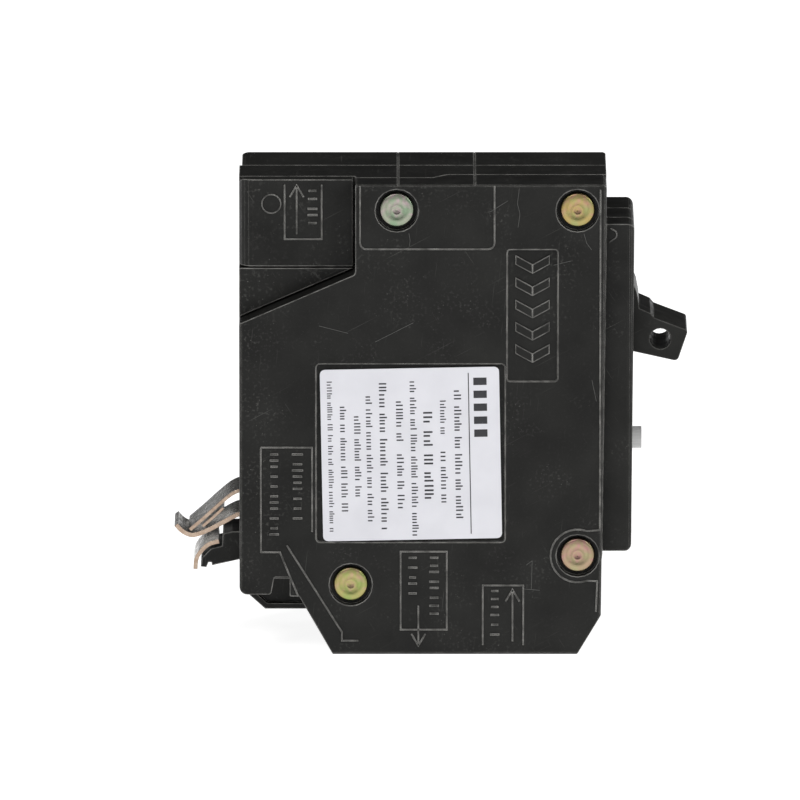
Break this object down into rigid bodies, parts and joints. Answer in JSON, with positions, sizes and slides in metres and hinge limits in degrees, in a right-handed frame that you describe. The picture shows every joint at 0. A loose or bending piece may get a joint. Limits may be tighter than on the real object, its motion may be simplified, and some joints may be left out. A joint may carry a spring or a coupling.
{
  "type": "gfci breaker",
  "caption": "Single-pole ground-fault circuit breaker: riveted black case, toggle handle, test button, plug-on neutral clip, side label.",
  "frame": {"origin": "middle of the bottom of the bounding box, on the load-end face the breaker stands on", "axes": "+X towards the handle side, +Y towards the mechanism side away from the label, +Z towards the line end"},
  "size_m": [0.0812, 0.025, 0.0762],
  "materials": {
    "blackWire": "black wire insulation",
    "board": "green solder mask",
    "button": "light grey, satin",
    "chip": "black moulded package",
    "copper": "bare copper alloy",
    "ferrite": "dark ferrite, matte",
    "fibre": "red vulcanised fibre",
    "film": "ochre dipped coating",
    "handle": "moulded black, satin",
    "insulation": "white wire insulation",
    "paper": "matte white label stock",
    "phenolic": "moulded black, satin, scuffed",
    "silver": "silver alloy contact",
    "steel": "plain steel",
    "tin": "bright tin plate, tan cut edges",
    "varistor": "blue dipped coating",
    "winding": "enamelled copper winding",
    "zinc": "yellow zinc plate"
  },
  "bodies": {
    "case": {"electronics_cover": "phenolic", "centre_frame": "phenolic", "base_housing": "phenolic", "line_end_block": "phenolic", "neutral_clip_post": "phenolic", "rivet_line_back": "zinc", "rivet_line_front": "zinc", "rivet_load_front": "zinc", "rivet_load_back": "zinc", "label": "paper", "test_contact": "silver", "neutral_clip_spring": "tin", "neutral_clip_doubler": "tin", "neutral_clip_jaw": "tin", "neutral_clip_lead_in": "tin", "neutral_strap": "copper", "line_jaw": "tin", "jaw_spring": "steel", "line_strap": "copper", "fixed_contact": "silver", "bimetal": "copper", "magnet_yoke": "steel", "calibration_screw": "steel", "flexible_braid": "copper", "arc_chute_carrier": "fibre", "arc_plate_1": "steel", "arc_plate_2": "steel", "arc_plate_3": "steel", "arc_plate_4": "steel", "load_lug": "tin", "neutral_lug": "tin", "current_toroid": "ferrite", "neutral_toroid": "ferrite", "load_conductor": "blackWire", "neutral_conductor": "insulation", "circuit_board": "board", "solenoid_frame": "steel", "solenoid_coil": "winding", "control_chip": "chip", "electrolytic_capacitor": "varistor", "film_capacitor": "film", "surge_varistor": "varistor", "thyristor": "chip", "bridge_rectifier": "chip", "resistor": "film"},
    "handle": {"handle": "handle"},
    "contact_arm": {"contact_arm": "copper", "moving_contact": "silver"},
    "cradle": {"cradle": "steel", "toggle_spring": "steel"},
    "plunger": {"solenoid_plunger": "steel", "trip_link": "steel"},
    "armature": {"armature": "steel", "armature_spring": "steel"},
    "test_button": {"test_button": "button"},
    "test_leaf": {"test_leaf": "copper"},
    "load_clamp": {"load_clamp_plate": "steel"},
    "load_screw": {"load_terminal_screw": "zinc"},
    "neutral_clamp": {"neutral_clamp_plate": "steel"},
    "neutral_screw": {"neutral_terminal_screw": "zinc"}
  },
  "joints": [
    {"name": "handle_swing", "type": "hinge", "parent": "case", "child": "handle", "pos_m": [0.02197, 0, 0.0542], "axis": [0, -1, 0], "range_deg": [0, 36]},
    {"name": "arm_swing", "type": "hinge", "parent": "case", "child": "contact_arm", "pos_m": [0.00977, 0.004, 0.056], "axis": [0, 1, 0], "range_deg": [0, 20]},
    {"name": "cradle_trip", "type": "hinge", "parent": "case", "child": "cradle", "pos_m": [0.01377, 0.0068, 0.0405], "axis": [0, -1, 0], "range_deg": [0, 18]},
    {"name": "plunger_pull", "type": "slide", "parent": "case", "child": "plunger", "axis": [-1, 0, 0], "range_m": [0, 0.0014], "stiffness_N_per_m": 300},
    {"name": "armature_tilt", "type": "hinge", "parent": "case", "child": "armature", "pos_m": [-0.01213, 0.0042, 0.0175], "axis": [0, -1, 0], "range_deg": [0, 4.9]},
    {"name": "button_press", "type": "slide", "parent": "case", "child": "test_button", "axis": [-1, 0, 0], "range_m": [0, 0.0012], "stiffness_N_per_m": 400},
    {"name": "leaf_bend", "type": "hinge", "parent": "case", "child": "test_leaf", "pos_m": [0.02577, 0, 0.0265], "axis": [0, -1, 0], "range_deg": [0, 11.6]},
    {"name": "load_clamp_slide", "type": "slide", "parent": "case", "child": "load_clamp", "axis": [-1, 0, 0], "range_m": [0, 0.003]},
    {"name": "load_screw_turn", "type": "hinge", "parent": "load_clamp", "child": "load_screw", "pos_m": [0.01977, 0.0065, 0.009], "axis": [-1, 0, 0], "range_deg": [0, 1545]},
    {"name": "neutral_clamp_slide", "type": "slide", "parent": "case", "child": "neutral_clamp", "axis": [-1, 0, 0], "range_m": [0, 0.003]},
    {"name": "neutral_screw_turn", "type": "hinge", "parent": "neutral_clamp", "child": "neutral_screw", "pos_m": [0.01977, -0.0065, 0.009], "axis": [-1, 0, 0], "range_deg": [0, 1545]}
  ],
  "couplings": [
    {"joint": "arm_swing", "follows": "handle_swing", "ratio": 0.55556},
    {"joint": "armature_tilt", "follows": "plunger_pull", "rad_per_m": 60.6},
    {"joint": "leaf_bend", "follows": "button_press", "rad_per_m": 166.67},
    {"joint": "load_screw_turn", "follows": "load_clamp_slide", "rad_per_m": 8976},
    {"joint": "neutral_screw_turn", "follows": "neutral_clamp_slide", "rad_per_m": 8976}
  ]
}
